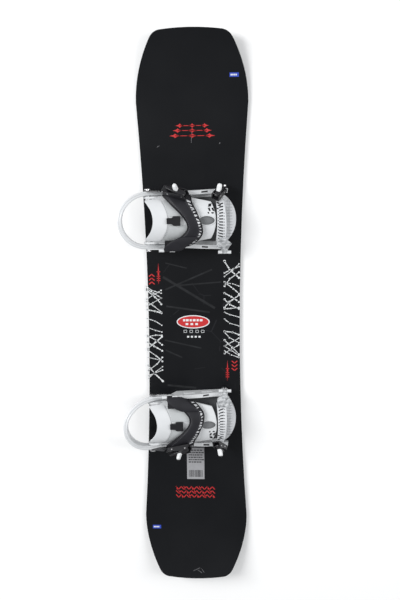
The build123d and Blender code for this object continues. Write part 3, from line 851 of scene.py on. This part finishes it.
# each station of an arm: its place along the buckle, half width, underside and top
ARM = {"ankle": ((28, 5.5, 8, 12.5), (25, 9, 7.2, 15), (18, 10.2, 9, 17.6), (8, 10.3, 13.5, 19.4),
                 (-4, 9.6, 15, 20.4), (-14, 8.4, 15.6, 20.9), (-23, 6.6, 17.0, 21.2), (-31, 3.6, 18.8, 21.0)),
       "toe": ((18, 5, 8, 12.5), (15, 7.6, 7.2, 15), (8, 8.2, 9.5, 17.6), (0, 8.2, 13.5, 19),
               (-8, 7.4, 15.2, 19.9), (-15, 6.0, 16.8, 20.4), (-22, 3.4, 18.8, 20.8))}
TAB = ((17, -5, 7, 5.6), (19.5, -6, 6.4, 6.2), (25, -7.2, 3.6, 6.4), (30, -8.6, 1.6, 6.4),
       (34, -9.4, 0.2, 6.0), (35.4, -8.6, -1.2, 4.4))
white_tab = moulded("lever_white", (0.78, 0.79, 0.80), 0.3)
for side in SIDES:
    for kind, stations in ARM.items():
        body = f"{side}_{kind}_lever_body"
        rings = []
        for u, half, low, high in stations:
            waist = (high - low) * 0.3
            ring_points = [(-half * 0.8, low), (half * 0.8, low), (half, low + waist), (half, high - waist),
                           (half * 0.62, high), (0, high + 0.5), (-half * 0.62, high),
                           (-half, high - waist), (-half, low + waist)]
            rings.append([on_buckle(side, kind, u, v, n) for v, n in ring_points])
        loft(f"{side}_{kind}_lever_arm", rings, body, buckle_metal, (f"{side}_{kind}_lever",), smooth=50)
        rings = []
        for n, back, front, half in TAB:
            corner = 1.6
            outline = [(back, -half + corner), (back + corner, -half), (front - corner, -half),
                       (front, -half + corner), (front - 0.9, 0), (front, half - corner),
                       (front - corner, half), (back + corner, half), (back, half - corner)]
            rings.append([on_buckle(side, kind, u, v, n) for u, v in outline])
        loft(f"{side}_{kind}_lever_tab", rings, body, white_tab, smooth=50)

# ---- Toe strap ----
# The toe strap is an openwork white cap; a thin black liner shows through its slots.
TOE_R_IN = 81
TOE_R_OUT = 88
TOE_Z = -8
for side in SIDES:
    rings = []
    for j in range(31):
        y = -55 + 110 * j / 30
        x_low = 65.5 + 2.5 * (1 - (y / 58) ** 2)
        x_high = 84 + 7 * (1 - (y / 58) ** 2)
        corners = ((x_low, 3.8), (x_high, 3.8), (x_high, 3.0), (x_low, 3.0))
        rings.append([on_arch(side, x, y, lift, TOE_R_IN, TOE_Z, False) for x, lift in corners])
    loft(side + "_toe_liner", rings, side + "_toe_strap_body", black_nylon, levels=0)
    wedges = [((66, 50), (75, 47), (73, 43), (67, 45)), ((68, 41), (79, 43), (77, 37), (70, 39)),
              ((67, 33), (73, 34), (72, 30), (68, 30))]
    for j in range(10):
        y = 24 - j * 8
        grow = 0.5 + j * 0.16
        wedges.append(((70.5, y), (73.2, y + 0.6), (73.6, y - 2.4 * grow), (69.2, y - 0.6)))
    for j in range(9):
        y = 20 - j * 8
        wedges.append(((85.5, y), (88.0, y + 0.8), (88.3, y - 1.2), (86.2, y - 1.8)))
    arch_print(side + "_toe_cap_wedges", side, wedges, side + "_toe_strap_body", ink_and_slot_shade,
               TOE_R_OUT, TOE_Z, False)
    # painted shade: each side rail gets two flat dark sheets that stand for the shadow inside its slots; no
    # openings are cut in the rail
    for tag, hand in (("a", 1), ("b", -1)):
        outline = [(x, y * hand) for x, y in ((25, 72.6), (42, 74.0), (42, 78.6), (25, 77.0))]
        mesh = bpy.data.meshes.new(f"{side}_rail_slot_shade_{tag}")
        corners = [placed(side, x, y, 40.2 - (x - 20) * 10 / 46, False) for x, y in outline]
        mesh.from_pydata(corners, [], [(0, 1, 2, 3)])
        slot_shade_sheet = bpy.data.objects.new(f"{side}_rail_slot_shade_{tag}", mesh)
        bpy.context.collection.objects.link(slot_shade_sheet)
        if mesh.polygons[0].normal.z < 0:
            mesh.flip_normals()
        dress(slot_shade_sheet, ink_and_slot_shade)
        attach(slot_shade_sheet, "board")

# ---- Studio ----
# A plain pale floor, a pale world light, a large soft light high on one side, one fill on the other, and the
# camera above the board.
bpy.ops.mesh.primitive_plane_add(size=30, location=(0, 0, -0.0005))
floor = bpy.context.object
floor.name = "studio_floor"
pale = Finish("floor_pale", (0.90, 0.90, 0.90), 0.9)
pale.set("Roughness", 0.85 + pale.noise(3.0) * 0.1)
dress(floor, pale)
world = bpy.data.worlds.new("studio")
bpy.context.scene.world = world
world.use_nodes = True
world.node_tree.nodes["Background"].inputs["Color"].default_value = (0.97, 0.985, 1.0, 1)
world.node_tree.nodes["Background"].inputs["Strength"].default_value = 0.55


def soft_light(name, place, aim, size, power):
    lamp = bpy.data.lights.new(name, "AREA")
    lamp.shape = "RECTANGLE"
    lamp.size = size[0]
    lamp.size_y = size[1]
    lamp.energy = power
    holder = bpy.data.objects.new(name, lamp)
    bpy.context.collection.objects.link(holder)
    holder.location = place
    holder.rotation_euler = (Vector(aim) - Vector(place)).to_track_quat("-Z", "Y").to_euler()


soft_light("window", (-2.6, 1.2, 2.6), (0, 0, 0), (1.2, 2.4), 120)
soft_light("fill_toe", (2.6, 0.6, 2.2), (0, 0, 0), (1.0, 2.4), 50)
bpy.context.scene.view_settings.view_transform = "Standard"

camera = bpy.data.cameras.new("view")
camera.sensor_fit = "VERTICAL"
camera.sensor_height = 36
camera.lens = 36 * 693.3 / 600
camera.clip_end = 50
viewer = bpy.data.objects.new("view", camera)
bpy.context.collection.objects.link(viewer)
viewer.location = (0.08947, 0.42663, 1.95739)
viewer.rotation_euler = (-0.18728, 0.03543, -0.00869)
bpy.context.scene.camera = viewer
